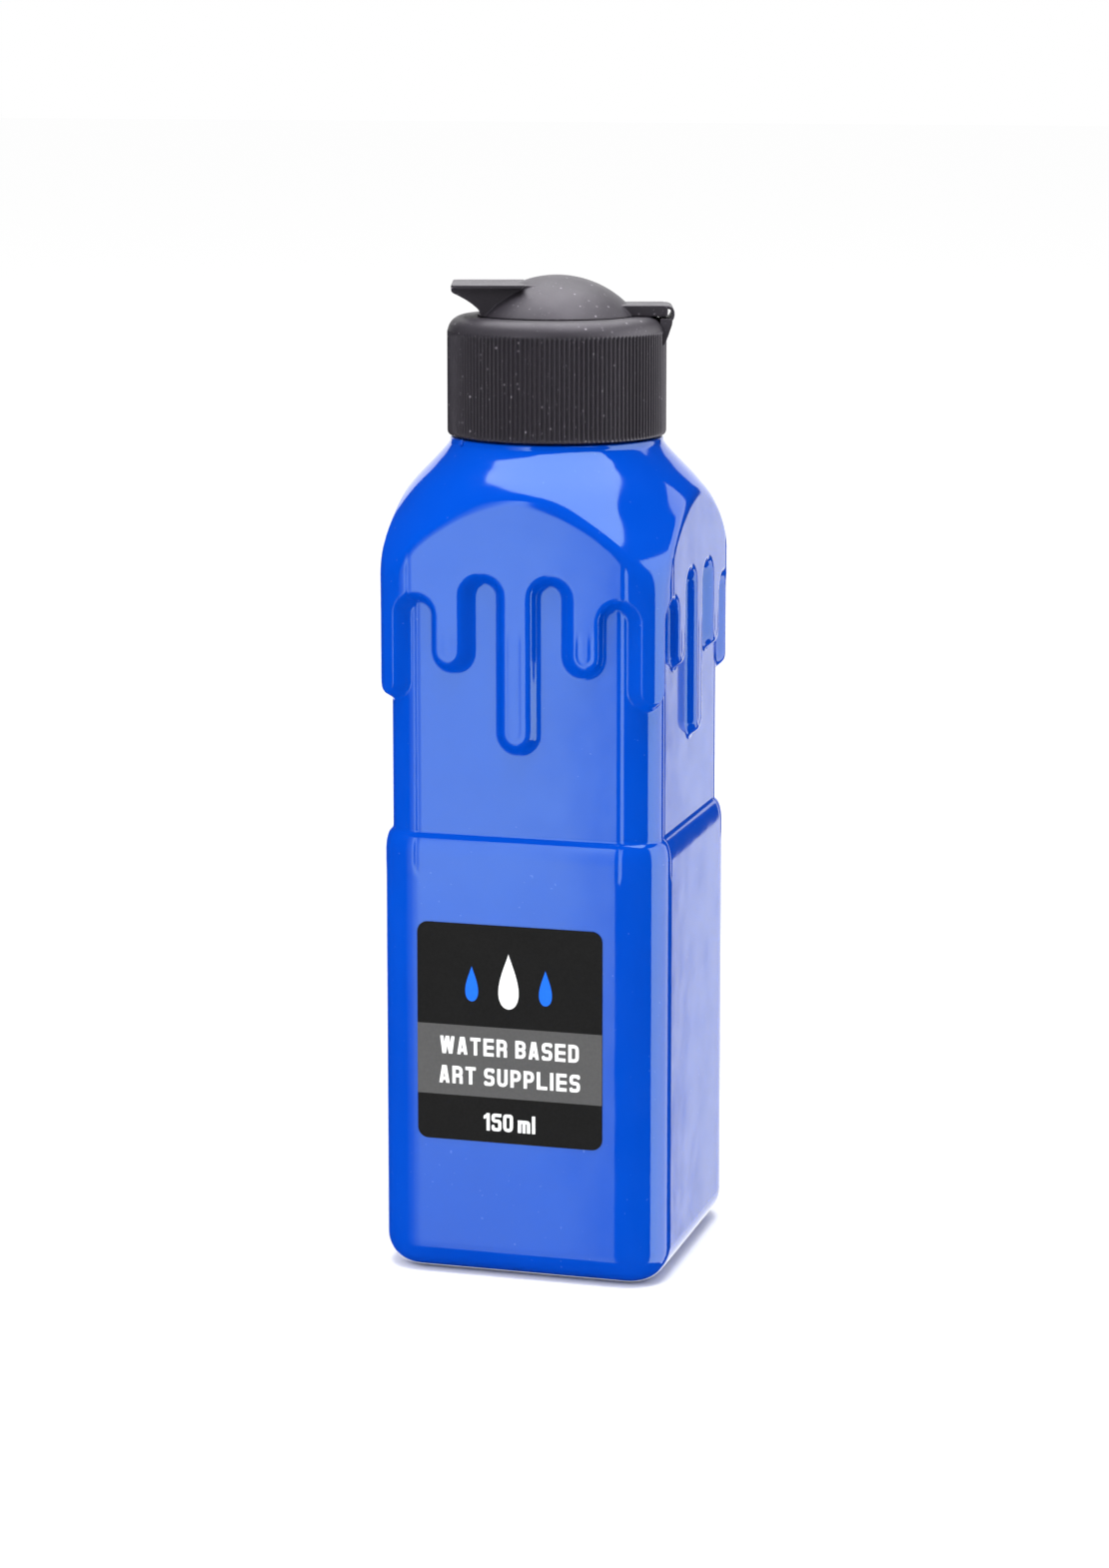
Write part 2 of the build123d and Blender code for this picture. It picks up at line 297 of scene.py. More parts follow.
_zs = np.arange(84.0, 120.0, 0.1)
_raw = np.array([shoulder_radius(float(np.clip(z, sh_z[0], sh_z[-1]))) for z in _zs])
_ker = np.exp(-0.5 * (np.arange(-40, 41) * 0.1 / 1.2) ** 2)
_even = np.convolve(np.pad(_raw, 40, mode="edge"), _ker / _ker.sum(), mode="valid")
_w = np.clip((115.4 - _zs) / 2.2, 0, 1) * np.clip((_zs - sh_z[0] - 0.2) / 2.2, 0, 1)
_even = _raw + (_even - _raw) * _w * _w * (3 - 2 * _w)
print("shoulder evened by at most mm", round(float(np.abs(_even - _raw).max()), 3))


def even_radius(z):
    """The shoulder's radius with the small changes of slope between its points evened out."""
    return float(np.interp(z, _zs, _even))


def soft_min(a, b, k):
    h = np.clip(0.5 + 0.5 * (b - a) / k, 0, 1)
    return b * (1 - h) + a * h - k * h * (1 - h)


def clamp_to_radius(x, y, r, k=0.7):
    rho = np.hypot(x, y)
    new = soft_min(rho, np.full_like(rho, r), k)
    return x * new / rho, y * new / rho


def seams(n, z):
    """How far the surface stands out, in mm: the mould's parting line on two diagonals and
    the fine creases where the flat panels meet the corners."""
    q, tau, phi, dist = COLS[n]
    out = np.zeros(n)
    mid = (phi - pi / 4) * 5.0
    line_on = ((q == 1) | (q == 3)) & (tau >= 1)
    out += np.where(line_on, 0.07 * np.exp(-((mid / 0.13) ** 2)), 0)
    edge = np.minimum(np.abs(dist - 14.95), np.abs(dist + 14.95))
    out -= 0.045 * np.exp(-((edge / 0.16) ** 2))
    return out


def body_ring(n, z, a, r, extra=0.0):
    x, y = square_ring(n, a, r + seams(n, z) + extra)
    return x, y


def build_bottle():
    rings, counts = [], []

    def put(n, x, y, z):
        rings.append(np.stack([x, y, np.broadcast_to(z, x.shape)], 1))
        counts.append(n)

    C, F = N_COARSE, N_FINE
    # hollow in the base, foot ring, rounded bottom edge
    for hw, z in ((2, 1.25), (6, 1.24), (9.5, 1.2), (11.3, 1.1), (11.9, 0.8), (12.3, 0.35), (12.6, 0.08), (13.0, 0.0)):
        r = min(3.0, hw * 0.45)
        x, y = square_ring(C, hw - r, r)
        put(C, x, y, z)
    for hw in (14.4, 15.6):
        x, y = square_ring(C, hw - 1.4, 1.4)
        put(C, x, y, 0.0)
    for i in range(1, 15):
        t = (pi / 2) * i / 14
        inset = 4.5 * (1 - math.sin(t))
        z = 4.5 * (1 - math.cos(t))
        crease = -0.07 * math.exp(-(((z - 4.25) / 0.14) ** 2))
        put(C, *body_ring(C, z, 14.8, LOWER_R - inset, crease), z)
    for z in (4.62, 4.75, 5.0, 5.6, 7, 10, 15, 20, 26, 32, 38, 44, 50, 54, 56.5):
        put(C, *body_ring(C, z, 14.8, LOWER_R), z)
    # fine rows from here: the ledge, the recessed body and the running paint
    zs = [57.5, 58.4, 59.0]
    ledge = np.linspace(0, 1, 15)
    for z in zs:
        put(F, *body_ring(F, z, 14.8, LOWER_R), z)
    for t in ledge:
        z = 59.2 + 3.5 * t
        # convex roll over the top of the lower body, then a crisp inner corner
        s = np.clip((z - 59.6) / (62.55 - 59.6), 0, 1)
        inset = 1.05 * (1 - math.sqrt(max(0.0, 1 - s ** 2.2)) * (1 - 0.10 * s)) if s < 1 else 1.05
        put(F, *body_ring(F, z, 14.8, LOWER_R - inset), z)
    for z in (63.1, 63.8, 65, 66.5, 68, 69.5, 70.6):
        put(F, *body_ring(F, z, 14.8, MID_R), z)
    rows = np.concatenate([np.arange(71.0, 103.6, 0.24), np.arange(103.7, 115.5, 0.26)])
    q, tau, phi, dist = COLS[F]
    first = slice(0, F // 4)
    U, Z = np.meshgrid(dist[first], rows)
    D = np.full(U.shape, 9.0)
    near = rows < 104.5
    D[near] = coat_distance(U[near], Z[near])
    D = np.tile(D, (1, 4))
    for z, d in zip(rows, D):
        t = np.clip((d + 0.80) / 1.60, 0, 1)
        m = t * t * (3 - 2 * t)
        a = MID_HW - MID_R + (COAT_HW - COAT_R - MID_HW + MID_R) * m
        r = MID_R + (COAT_R - MID_R) * m
        # a faint line inside the drips, as where the mould was cut
        inner = -0.016 * np.exp(-(((d - 1.5) / 0.16) ** 2)) * np.clip((92.0 - z) / 2.0, 0, 1)
        x, y = square_ring(F, a, r + seams(F, z) + inner)
        x, y = clamp_to_radius(x, y, even_radius(z)) if z > 91 else (x, y)
        put(F, x, y, float(z))
    # collar under the cap, then the neck
    ang = np.arctan2(*reversed(square_ring(F, 10.0, 5.0)))

    def circle(n, r, z):
        a = ang if n == F else ang[:: F // C]
        put(n, r * np.cos(a), r * np.sin(a), z)

    for r, z in ((15.02, 115.62), (14.97, 115.85), (14.96, 116.1), (14.88, 116.24), (14.7, 116.30)):
        circle(F, r, z)
    for r, z in ((13.1, 116.30), (12.78, 116.42), (12.65, 116.8), (12.65, 121), (12.65, 126), (12.65, 130.0),
                 (12.55, 130.28), (12.3, 130.39), (11.3, 130.39), (11.05, 130.3), (11.0, 130.0), (11.0, 124), (11.0, 117.4)):
        circle(C, r, z)
    # inside of the wall, down to the floor
    for z in (115.2, 113, 111, 109, 107, 105, 103.3):
        x, y = square_ring(C, COAT_HW - COAT_R, COAT_R - 0.95)
        x, y = clamp_to_radius(x, y, even_radius(z) - 1.25)
        put(C, x, y, z)
    for z in (102.6, 95, 85, 75, 65, 62.2):
        x, y = square_ring(C, 14.8, MID_R - 0.95)
        x, y = clamp_to_radius(x, y, even_radius(z) - 1.25) if z > 91 else (x, y)
        put(C, x, y, z)
    for z in (59.8, 40, 20, 5.8, 3.6, 2.4):
        x, y = square_ring(C, 14.8, LOWER_R - 0.95 - max(0, 5.8 - z) ** 2 * 0.24)
        put(C, x, y, z)
    faces, starts = rings_to_faces(counts)
    faces.append(tuple(range(C)))
    faces.append(tuple(reversed(range(int(starts[-2]), int(starts[-1])))))
    o = mesh_object("bottle_shell", np.concatenate(rings), faces)
    recalc(o)
    return o


def helix_ridge(name, root_r, crest_r, z0, turns, pitch=4.23, w0=2.0, w1=0.9, steps=150):
    verts, faces = [], []
    for i in range(steps + 1):
        t = i / steps
        a = 2 * pi * turns * t
        fade = min(1.0, t * turns * 9, (1 - t) * turns * 9)  # the ends run out
        fade = math.sin(fade * pi / 2)
        z = z0 + pitch * turns * t
        c = root_r + (crest_r - root_r) * (0.05 + 0.95 * fade)
        for r, dz in ((root_r, -w0 / 2), (c, -w1 / 2), (c, w1 / 2), (root_r, w0 / 2)):
            verts.append((r * math.cos(a), r * math.sin(a), z + dz))
    for i in range(steps):
        for k in range(4):
            n = (k + 1) % 4
            faces.append((i * 4 + k, i * 4 + n, i * 4 + 4 + n, i * 4 + 4 + k))
    faces.append((0, 1, 2, 3))
    faces.append(tuple(steps * 4 + k for k in (3, 2, 1, 0)))
    o = mesh_object(name, verts, faces)
    recalc(o)
    b = o.modifiers.new("edge", "BEVEL")
    b.width, b.segments, b.limit_method = 0.00012, 2, "ANGLE"
    return bake_modifiers(o)


bottle = build_bottle()
neck_thread = helix_ridge("neck_thread", 12.5, 13.75, 121.5, 1.5)
# small nub on the parting line, at the collar
bm = bmesh.new()
bmesh.ops.create_icosphere(bm, subdivisions=3, radius=1.0)
nub_mesh = bpy.data.meshes.new("seam_nub")
bm.to_mesh(nub_mesh)
bm.free()
nub = bpy.data.objects.new("seam_nub", nub_mesh)
scene.collection.objects.link(nub)
nub_a = math.radians(225)
nub_mesh.transform(
    Matrix.Translation(Vector((14.92 * math.cos(nub_a), 14.92 * math.sin(nub_a), 115.9)) * MM)
    @ Matrix.Diagonal((0.00045, 0.00045, 0.00055, 1))
)
nub_mesh.polygons.foreach_set("use_smooth", [True] * len(nub_mesh.polygons))
bottle = join([bottle, neck_thread, nub], "bottle_shell")
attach(bottle, "bottle")
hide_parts("bottle")

# ---------------------------------------------------------------- cap base
RIBS = 142
N_CAP = RIBS * 8


def rib_shape(a):
    """From 0 at the crest to -0.40 in the groove, with rounded crests."""
    c = 0.5 - 0.5 * np.cos(RIBS * (a - HINGE_AZ))
    return -0.40 * c ** 0.85


profile = []
profile += [(1.75, 131.6, 0), (1.75, 133.2, 0), (1.75, 135.9, 0), (1.85, 136.12, 0), (2.1, 136.2, 0), (3.0, 136.2, 0), (3.25, 136.1, 0), (3.36, 135.85, 0)]
profile += [(3.7, 135.0, 0), (4.15, 134.0, 0), (4.4, 133.45, 0), (4.75, 133.18, 0), (5.3, 133.1, 0), (7.6, 133.1, 0), (7.85, 133.15, 0), (7.9, 133.35, 0), (7.92, 133.8, 0), (8.02, 133.92, 0), (8.25, 133.96, 0), (8.48, 133.92, 0), (8.58, 133.8, 0), (8.6, 133.35, 0), (8.66, 133.15, 0), (8.9, 133.1, 0)]
profile += [(10.6, 133.1, 0), (11.9, 133.1, 0)]
profile += arc(12.95, 130.82, 2.28, 90, 8, 16)[:-1]
profile += [(15.24, 131.1, 0.0), (15.28, 130.95, 0.25), (15.30, 130.75, 0.8), (15.30, 130.5, 1), (15.30, 128, 1), (15.30, 124, 1), (15.30, 120, 1), (15.30, 117.6, 1), (15.30, 117.15, 1), (15.27, 116.95, 0.6), (15.22, 116.8, 0.2), (15.12, 116.66, 0), (14.95, 116.6, 0)]
profile += [(14.4, 116.6, 0), (14.12, 116.68, 0), (14.05, 116.9, 0), (14.05, 120, 0), (14.05, 126, 0), (14.05, 131.3, 0), (13.8, 131.6, 0), (8, 131.6, 0)]
cap = lathe("cap_base_moulded", profile, N_CAP, ribs=rib_shape)

RX = Matrix.Rotation(HINGE_AZ, 4, "Z")


def extruded(name, outline_xz, half_w, bevel=0.25, segments=3):
    """A closed prism from an outline in the hinge's plane, +-half_w wide, in local axes."""
    n = len(outline_xz)
    verts = [(x, -half_w, z) for x, z in outline_xz] + [(x, half_w, z) for x, z in outline_xz]
    faces = [tuple(range(n)), tuple(reversed(range(n, 2 * n)))]
    faces += [(k, k + n, (k + 1) % n + n, (k + 1) % n) for k in range(n)]
    o = mesh_object(name, verts, faces)
    recalc(o)
    if bevel:
        b = o.modifiers.new("edge", "BEVEL")
        b.width, b.segments, b.limit_method, b.angle_limit = bevel * MM, segments, "ANGLE", math.radians(35)
        bake_modifiers(o)
    return o


bracket = extruded(
    "bracket", [(14.3, 129.1), (14.95, 129.2), (15.45, 130.5), (15.95, 132.0), (16.03, 132.55), (15.92, 132.85), (14.3, 132.85)], 4.1, 0.12
)
bracket.data.transform(RX)
cap_thread = helix_ridge("cap_thread", 14.15, 12.85, 119.385, 1.5)
cap_thread.data.transform(RX)
cap = join([cap, bracket, cap_thread], "cap_base_moulded")
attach(cap, "cap")
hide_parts("cap_base")

# ---------------------------------------------------------------- flip lid
# the pieces of the lid overlap, and a fine voxel remesh at a thousand times the size makes
# them one moulding
dome_c = 138.70 - 14.0


def dome_profile():
    p = []
    n = 30
    t0 = math.asin((133.15 - dome_c) / 14.0)
    t1 = math.asin((133.15 - dome_c) / 13.0)
    for i in range(n + 1):
        t = t0 + (pi / 2 - t0) * i / n
        p.append((max(14.0 * math.cos(t), 0.004), dome_c + 14.0 * math.sin(t), 0))
    for i in range(n + 1):
        t = pi / 2 + (t1 - pi / 2) * i / n
        p.append((max(13.0 * math.cos(t), 0.004), dome_c + 13.0 * math.sin(t), 0))
    return p


dome = lathe("dome", dome_profile(), 180)

# thumb tab: a thin plate with a narrower web under it, arched below
plate = extruded("tab_plate", [(-14.62, 137.62), (-14.62, 137.16), (-4.6, 137.16), (-4.6, 137.62)], 6.5, 0)
tip = plate.modifiers.new("corners", "BEVEL")
tip.width, tip.segments, tip.limit_method, tip.affect = 0.0006, 4, "WEIGHT", "EDGES"
bm = bmesh.new()
bm.from_mesh(plate.data)
weight = bm.edges.layers.float.new("bevel_weight_edge")
for e in bm.edges:
    v0, v1 = e.verts
    if abs(v0.co.x - v1.co.x) < 1e-7 and abs(v0.co.y - v1.co.y) < 1e-7 and v0.co.x < -0.014:
        e[weight] = 1.0
bm.to_mesh(plate.data)
bm.free()
bake_modifiers(plate)
web_outline = [
    (-14.62, 137.50), (-14.60, 136.75), (-14.40, 136.48), (-13.6, 136.10), (-12.6, 135.55), (-11.7, 134.95),
    (-10.95, 134.30), (-10.70, 133.95), (-10.60, 133.5), (-10.55, 133.15), (-9.2, 133.15), (-7.5, 134.6), (-5.0, 136.2), (-2.0, 137.2), (-1.5, 137.5),
]
web = extruded("tab_web", web_outline, 5.0, 0)
strap = extruded("strap", [(8.2, 133.15), (15.05, 133.15), (15.32, 133.35), (15.38, 133.7), (15.36, 134.3), (15.2, 134.58), (14.9, 134.7), (8.2, 134.7)], 4.1, 0.10, 2)
plug = lathe("plug", [(0.004, 134.9, 0), (1.1, 134.9, 0), (1.35, 135.02, 0), (1.45, 135.3, 0), (1.45, 137.2, 0), (1.8, 138.0, 0), (0.004, 138.0, 0)], 48)

lid = join([dome, plate, web, strap, plug], "flip_lid_moulded")
lid.data.transform(Matrix.Scale(1000.0, 4))
rm = lid.modifiers.new("one_moulding", "REMESH")
rm.mode = "VOXEL"
rm.voxel_size = 0.11
sm = lid.modifiers.new("soft_joins", "SMOOTH")
sm.factor, sm.iterations = 0.5, 3
bake_modifiers(lid)
lid.data.transform(Matrix.Scale(0.001, 4))
lid.data.transform(RX)
lid.data.polygons.foreach_set("use_smooth", [True] * len(lid.data.polygons))
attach(lid, "lid")
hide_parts("flip_lid")

# ---------------------------------------------------------------- living hinge web
centre = smooth_curve([(14.85, 134.40), (15.35, 134.42), (15.80, 134.27), (16.06, 133.96), (16.14, 133.58), (16.09, 133.18), (15.93, 132.84), (15.74, 132.56)], 5)
nrm = np.gradient(centre, axis=0)
nrm = np.stack([-nrm[:, 1], nrm[:, 0]], 1) / np.linalg.norm(nrm, axis=1)[:, None]
thick = 0.21 - 0.05 * np.exp(-(((np.linspace(0, 1, len(centre)) - 0.55) / 0.2) ** 2))
outer, inner_side = centre + nrm * thick[:, None], centre - nrm * thick[:, None]
section = np.concatenate([outer, inner_side[::-1]])
ys = np.linspace(-3.95, 3.95, 13)
verts, faces = [], []
ns = len(section)
for y in ys:
    verts += [(x, y, z) for x, z in section]
for i in range(len(ys) - 1):
    for k in range(ns):
        n = (k + 1) % ns
        faces.append((i * ns + k, i * ns + n, (i + 1) * ns + n, (i + 1) * ns + k))
half = ns // 2
for base, flip in ((0, False), ((len(ys) - 1) * ns, True)):
    for k in range(half - 1):
        f = (base + k, base + k + 1, base + ns - 2 - k, base + ns - 1 - k)
        faces.append(tuple(reversed(f)) if flip else f)
film = mesh_object("living_hinge_web", verts, faces)
recalc(film)
film.data.transform(RX)
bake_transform(film)
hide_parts("hinge_film")

# ---------------------------------------------------------------- labels' print
LABEL_Y = -20.40 - 0.12
LX0, LX1, LZ0, LZ1 = -14.30, 12.25, 19.60, 50.40
MX = (LX0 + LX1) / 2


def rounded_rect(x0, z0, x1, z1, r, n=8):
    pts = []
    for cx, cz, a0 in ((x1 - r, z0 + r, -90), (x1 - r, z1 - r, 0), (x0 + r, z1 - r, 90), (x0 + r, z0 + r, 180)):
        for i in range(n + 1):
            a = math.radians(a0 + 90 * i / n)
            pts.append((cx + r * math.cos(a), cz + r * math.sin(a)))
    return pts


def print_plate(name, outline_pts, y0, t, holes=()):
    """A thin closed plate of ink in the label's plane, from y0 forwards by t."""
    curve = bpy.data.curves.new(name, "CURVE")
    curve.dimensions = "2D"
    curve.fill_mode = "BOTH"
    for pts in (outline_pts, *holes):
        s = curve.splines.new("POLY")
        s.points.add(len(pts) - 1)
        for p, (x, z) in zip(s.points, pts):
            p.co = (x, z, 0, 1)
        s.use_cyclic_u = True
    curve.extrude = t / 2
    return curve_to_plate(name, curve, y0, t)


def curve_to_plate(name, curve, y0, t, dx=0.0, dz=0.0):
    tmp = bpy.data.objects.new(name + "_tmp", curve)
    scene.collection.objects.link(tmp)
    bpy.context.view_layer.update()
    dg = bpy.context.evaluated_depsgraph_get()
    m = bpy.data.meshes.new_from_object(tmp.evaluated_get(dg))
    bpy.data.objects.remove(tmp)
    m.transform(Matrix(((MM, 0, 0, dx * MM), (0, 0, -MM, (y0 - t / 2) * MM), (0, MM, 0, dz * MM), (0, 0, 0, 1))))
    bm = bmesh.new()
    bm.from_mesh(m)
    bmesh.ops.remove_doubles(bm, verts=bm.verts, dist=1e-8)
    bmesh.ops.recalc_face_normals(bm, faces=bm.faces)
    bm.to_mesh(m)
    bm.free()
    o = bpy.data.objects.new(name, m)
    scene.collection.objects.link(o)
    return o


def bend(points, r, n=5):
    """A polyline with its inner corners rounded to radius r."""
    out = [points[0]]
    for k in range(1, len(points) - 1):
        p0, p1, p2 = (np.array(points[k + d], float) for d in (-1, 0, 1))
        a, b = (p0 - p1) / np.linalg.norm(p0 - p1), (p2 - p1) / np.linalg.norm(p2 - p1)
        q = min(r, np.linalg.norm(p0 - p1) / 2, np.linalg.norm(p2 - p1) / 2)
        for i in range(n + 1):
            t = i / n
            out.append(tuple((1 - t) ** 2 * (p1 + a * q) + 2 * t * (1 - t) * p1 + t * t * (p1 + b * q)))
    return out + [points[-1]]


def letter_strokes(ch, w, h, s):
    """Centre lines of a plain block letter w wide and h high with half stroke s, all in mm,
    and the height it is cut off at."""
    e, r = 0.4, 0.34 * w
    x0, x1, z0, z1, zm = s, w - s, s, h - s, 0.5 * h
    stem = [(x0, -e), (x0, h + e)]
    bowl = lambda lo, hi: bend([(0, hi), (x1, hi), (x1, lo), (0, lo)], r)
    zt = 0.72 * h - s
    table = {
        "A": [[(0.9 * s, -0.2), (0.5 * w - 0.06, h + 0.2)], [(w - 0.9 * s, -0.2), (0.5 * w + 0.06, h + 0.2)], [(0.28 * w, 0.25 * h), (0.72 * w, 0.25 * h)]],
        "B": [stem, bowl(z0, zm), bowl(zm, z1)],
        "C": [bend([(x1, 0.66 * h), (x1, z1), (x0, z1), (x0, z0), (x1, z0), (x1, 0.34 * h)], r)],
        "D": [stem, bowl(z0, z1)],
        "E": [stem, [(0, z0), (w + e, z0)], [(0, zm), (w - 0.12, zm)], [(0, z1), (w + e, z1)]],
        "I": [stem],
        "L": [stem, [(0, z0), (w + e, z0)]],
        "N": [stem, [(x1, -e), (x1, h + e)], [(x0, h + 0.1), (x1, -0.1)]],
        "P": [stem, bowl(0.44 * h, z1)],
        "R": [stem, bowl(0.46 * h, z1), bend([(0.3 * w, 0.46 * h), (x1, 0.46 * h), (x1, -e)], 0.22 * w)],
        "S": [bend([(x1, 0.83 * h), (x1, z1), (x0, z1), (x0, zm), (x1, zm), (x1, z0), (x0, z0), (x0, 0.17 * h)], 0.26 * w)],
        "T": [[(-e, z1), (w + e, z1)], [(w / 2, -e), (w / 2, h + e)]],
        "U": [bend([(x0, h + e), (x0, z0), (x1, z0), (x1, h + e)], r)],
        "W": [[(0.8 * s, h + 0.1), (0.27 * w, -0.1)], [(0.27 * w, -0.1), (0.5 * w, h + 0.1)], [(0.5 * w, h + 0.1), (0.73 * w, -0.1)], [(0.73 * w, -0.1), (w - 0.8 * s, h + 0.1)]],
        "Y": [[(0.8 * s, h + 0.2), (0.5 * w, 0.42 * h)], [(w - 0.8 * s, h + 0.2), (0.5 * w, 0.42 * h)], [(0.5 * w, 0.45 * h), (0.5 * w, -e)]],
        "1": [[(x1, -e), (x1, h + e)], [(x1, z1), (0.1, 0.76 * h)]],
        "5": [bend([(w + e, z1), (x0, z1), (x0, 0.58 * h), (x1, 0.58 * h), (x1, z0), (x0, z0), (x0, 0.26 * h)], 0.2 * w)],
        "0": [bend([(w / 2, z1), (x1, z1), (x1, z0), (x0, z0), (x0, z1), (w / 2, z1)], r)],
        "m": [[(x0, -e), (x0, h)], bend([(x0, zt), (w / 2, zt), (w / 2, -e)], 0.16 * w), bend([(w / 2, zt), (x1, zt), (x1, -e)], 0.16 * w)],
        "l": [stem],
    }
    return table[ch], (0.72 * h if ch == "m" else h)


def contours(field, x0, z0, step):
    """Closed loops where a field on a grid passes through zero."""
    nz, nx = field.shape
    inside = field < 0
    code = (inside[:-1, :-1] * 1 + inside[:-1, 1:] * 2 + inside[1:, 1:] * 4 + inside[1:, :-1] * 8).astype(int)
    pairs = {
        1: ("LB",), 2: ("BR",), 3: ("LR",), 4: ("RT",), 5: ("LB", "RT"), 6: ("BT",), 7: ("LT",), 8: ("LT",),
        9: ("BT",), 10: ("BR", "LT"), 11: ("RT",), 12: ("LR",), 13: ("BR",), 14: ("LB",),
    }
    links, place = {}, {}

    def point(i, j, side):
        ends = {"B": ((i, j), (i, j + 1)), "T": ((i + 1, j), (i + 1, j + 1)), "L": ((i, j), (i + 1, j)), "R": ((i, j + 1), (i + 1, j + 1))}[side]
        if ends not in place:
            (ia, ja), (ib, jb) = ends
            a, b = field[ia, ja], field[ib, jb]
            t = a / (a - b)
            place[ends] = (x0 + step * (ja + t * (jb - ja)), z0 + step * (ia + t * (ib - ia)))
        return ends

    for i, j in zip(*np.nonzero((code > 0) & (code < 15))):
        for a, b in pairs[int(code[i, j])]:
            ka, kb = point(int(i), int(j), a), point(int(i), int(j), b)
            links.setdefault(ka, []).append(kb)
            links.setdefault(kb, []).append(ka)
    loops, seen = [], set()
    for start in list(links):
        if start in seen:
            continue
        loop, at = [], start
        while at is not None:
            seen.add(at)
            loop.append(place[at])
            at = next((k for k in links[at] if k not in seen), None)
        pts = loop
        for _ in range(4):  # leave out points that lie on the line through their neighbours
            kept, k = [], 0
            while k < len(pts):
                p, q, r = np.array(kept[-1] if kept else pts[-1]), np.array(pts[k]), np.array(pts[(k + 1) % len(pts)])
                d = r - p
                off = abs(d[0] * (q - p)[1] - d[1] * (q - p)[0]) / (np.linalg.norm(d) + 1e-12)
                if off > 0.0025 or not kept:
                    kept.append(tuple(q))
                k += 1
            pts = kept
        if len(pts) > 3:
            loops.append(pts)
    return loops


def lettering(name, text, cx, cz, h, w, s, gap, space, y0, rim=0.0, widths=(), t=0.012):
    """Block letters centred at cx, cz. rim widens every letter, for a border behind."""
    size = {"I": 2 * s, "l": 2 * s, "1": 0.62 * w, "W": 1.36 * w, "m": 1.25 * w}
    place, x = [], 0.0
    for ch in text:
        if ch == " ":
            x += space - gap
            continue
        cw = size.get(ch, w)
        place.append((ch, x, cw))
        x += cw + gap
    total = x - gap
    step = 0.045
    gx = np.arange(-1.0, total + 1.0, step)
    gz = np.arange(-1.0, h + 1.0, step)
    X, Z = np.meshgrid(gx, gz)
    field = np.full(X.shape, 9.0)
    for ch, lx, cw in place:
        strokes, top = letter_strokes(ch, cw, h, s)
        cols = (gx > lx - 1.0) & (gx < lx + cw + 1.0)
        x_, z_ = X[:, cols] - lx, Z[:, cols]
        d = np.full(x_.shape, 9.0)
        for line_ in strokes:
            for (ax, az), (bx, bz) in zip(line_, line_[1:]):
                dx, dz = bx - ax, bz - az
                q = np.clip(((x_ - ax) * dx + (z_ - az) * dz) / (dx * dx + dz * dz + 1e-12), 0, 1)
                d = np.minimum(d, np.hypot(x_ - ax - q * dx, z_ - az - q * dz) - s)
        d = np.maximum(d, np.maximum(np.abs(x_ - cw / 2) - cw / 2, np.abs(z_ - top / 2) - top / 2))
        field[:, cols] = np.minimum(field[:, cols], d - rim)
    loops = contours(field + 1e-7, cx - total / 2 - 1.0, cz - h / 2 - 1.0, step)
    return print_plate(name, loops[0], y0, t, loops[1:])


def drop_shape(cx, cz, w, h, n=48):
    """Outline of a falling drop: round below, pointed above."""
    pts = []
    for i in range(n):
        t = 2 * pi * i / n
        s = math.sin(t / 2)
        pts.append((cx + w * math.sin(t) * s ** 1.4 * 0.62, cz + h * 0.5 * math.cos(t)))
    return pts


Y1 = LABEL_Y
band = print_plate("label_band", [(LX0 + 0.01, 26.0), (LX1 - 0.01, 26.0), (LX1 - 0.01, 36.0), (LX0 + 0.01, 36.0)], Y1, 0.008)
drop_a = print_plate("label_drop_large", drop_shape(MX - 0.1, 42.6, 3.3, 7.8), Y1, 0.012)
drop_b = print_plate("label_drop_left", drop_shape(MX - 5.4, 42.0, 2.1, 5.0), Y1, 0.012)
drop_c = print_plate("label_drop_right", drop_shape(MX + 5.2, 42.0, 2.1, 5.0), Y1, 0.012)
WORDS = (("upper", "WATER BASED", 33.1), ("lower", "ART SUPPLIES", 28.9))
style = dict(h=2.5, w=1.5, s=0.24, gap=0.40, space=1.2)
words = [lettering(f"label_words_{n}", w, MX, z, y0=Y1 - 0.008, **style) for n, w, z in WORDS]
words_3 = lettering("label_volume", "150 ml", MX, 22.5, h=2.5, w=1.42, s=0.23, gap=0.26, space=0.7, y0=Y1)
white_ink = join([drop_a, *words, words_3], "front_label_white_print")
blue_ink = join([drop_b, drop_c], "front_label_blue_print")
band.name = "front_label_band"

# the back's label: rules and panels without words
rear = []
for k, (z, w) in enumerate([(45.5, 9.4), (43.4, 9.4), (41.3, 8.1), (39.2, 9.4), (37.1, 9.4), (35.0, 6.2), (31.4, 9.4), (29.3, 9.4), (27.2, 7.4)]):
    rear.append(print_plate(f"rear_line_{k}", rounded_rect(-11.0, z - 0.42, -11.0 + 2 * w, z + 0.42, 0.2, 3), 0, 0.012))
rear_print = join(rear, "rear_label_white_print")
for v in rear_print.data.vertices:
    # turned to face backwards
    v.co.x, v.co.y = -v.co.x, (20.40 + 0.12) * MM - v.co.y
recalc(rear_print)
for o in (band, white_ink, blue_ink, rear_print):
    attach(o, "bottle")


# ---------------------------------------------------------------- materials
def material(name, color, rough, **sockets):
    m = bpy.data.materials.new(name)
    m.use_nodes = True
    b = m.node_tree.nodes["Principled BSDF"]
    b.inputs["Base Color"].default_value = (*color, 1)
    b.inputs["Roughness"].default_value = rough
    for k, v in sockets.items():
        b.inputs[k.replace("_", " ")].default_value = v
    return m, m.node_tree, b


